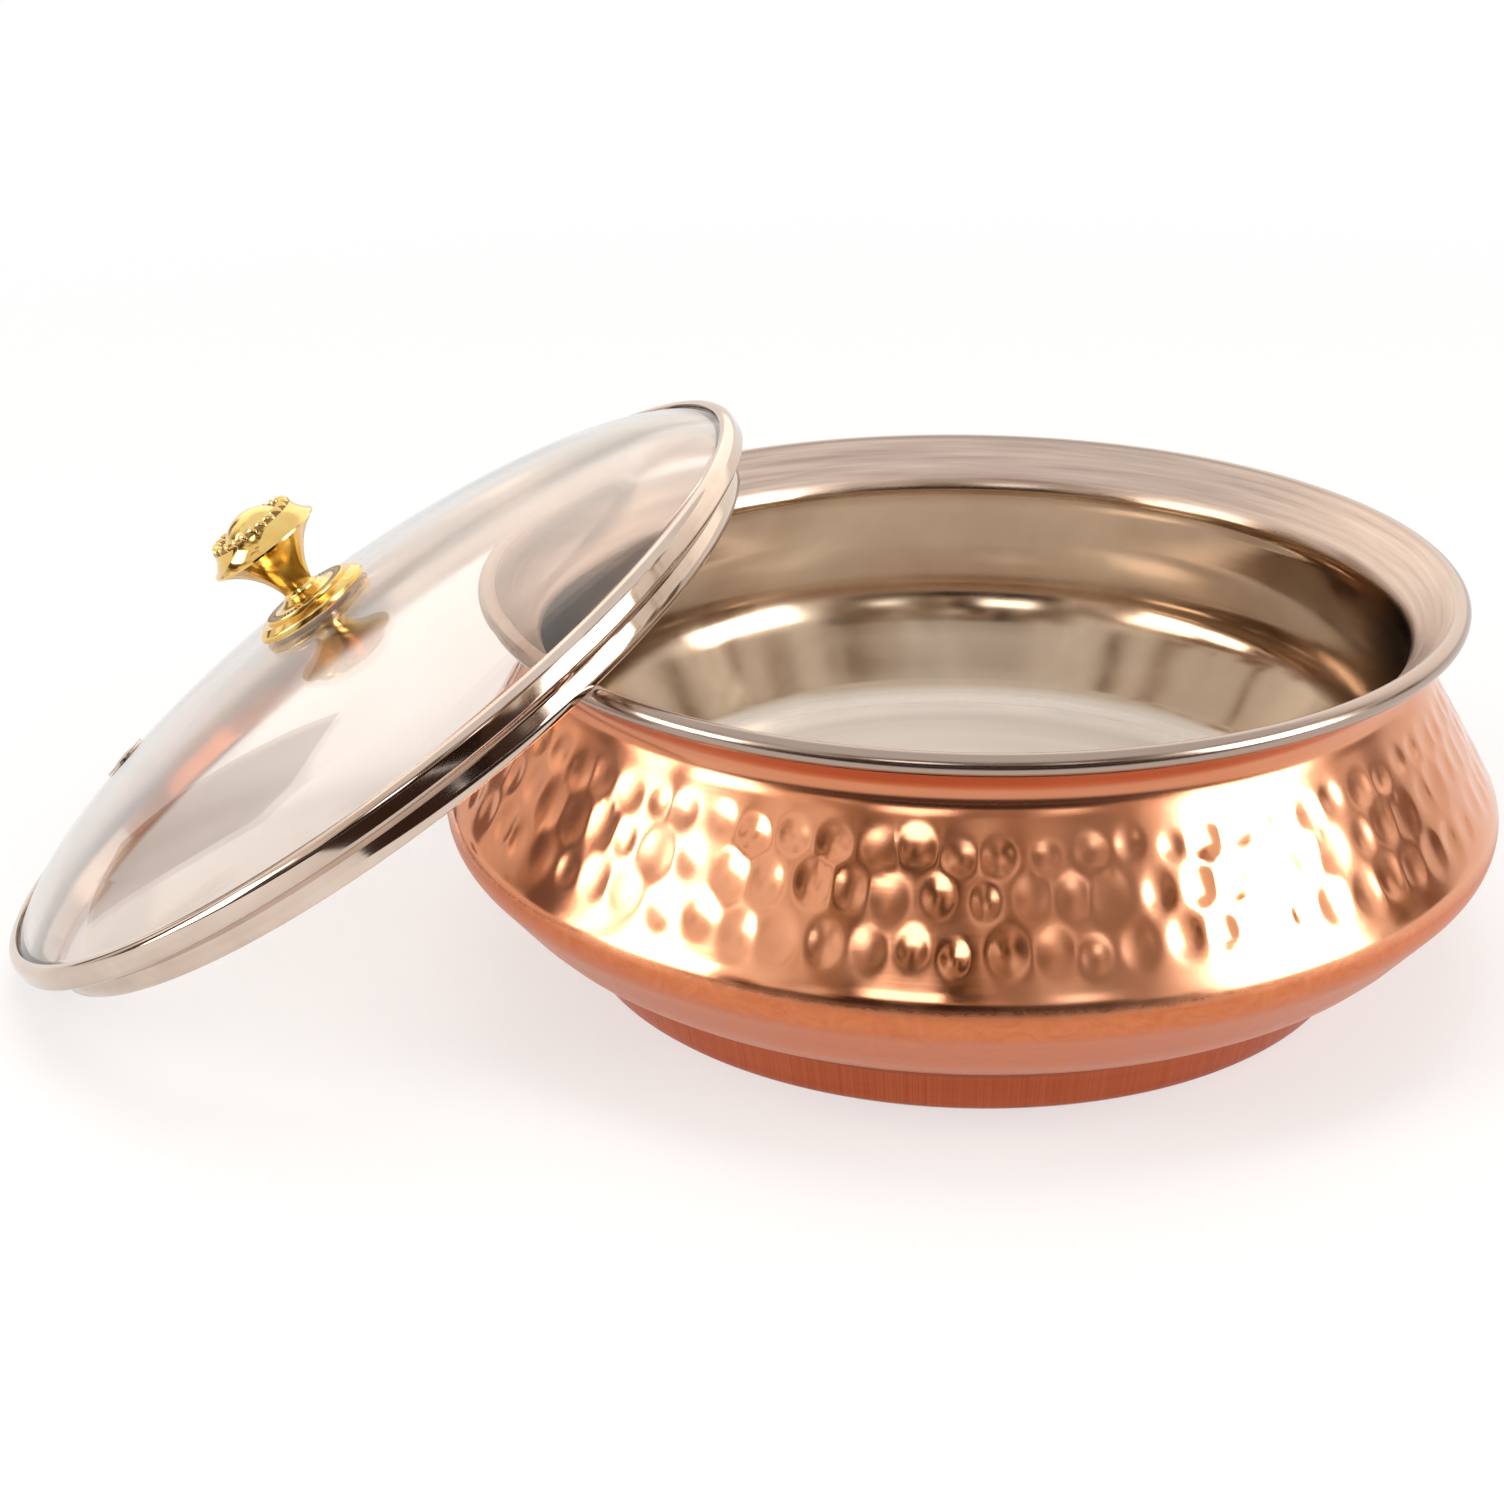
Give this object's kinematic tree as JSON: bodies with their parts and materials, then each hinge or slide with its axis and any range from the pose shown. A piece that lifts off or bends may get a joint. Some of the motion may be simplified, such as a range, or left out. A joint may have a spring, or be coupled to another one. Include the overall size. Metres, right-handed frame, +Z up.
{
  "type": "handi pot",
  "caption": "Round serving pot with a hammered copper outside and a steel bowl inside, with its glass lid and brass knob leaning against it.",
  "frame": {"origin": "centre of the pot's foot, on the surface that the pot stands on", "axes": "+Z up along the pot's axis; the lid leans away from the pot towards -X, and its axis lies in the XZ plane"},
  "size_m": [0.2933, 0.2057, 0.1036],
  "materials": {
    "copper": "polished and hammered copper",
    "steel_sheet": "satin to polished",
    "steel_band": "mirror polished",
    "lid_glass": "clear with a warm grey tint",
    "brass": "polished",
    "soft_washer": "matt"
  },
  "bodies": {
    "root": {"outer_shell": "copper", "inner_bowl": "steel_sheet", "lid_glass": "lid_glass", "lid_band": "steel_band", "vent_grommet": "steel_band", "knob_grip": "brass", "knob_collar": "brass", "knob_screw": "steel_sheet", "screw_washer": "steel_sheet", "knob_seal": "soft_washer", "lower_seal": "soft_washer"}
  },
  "joints": []
}
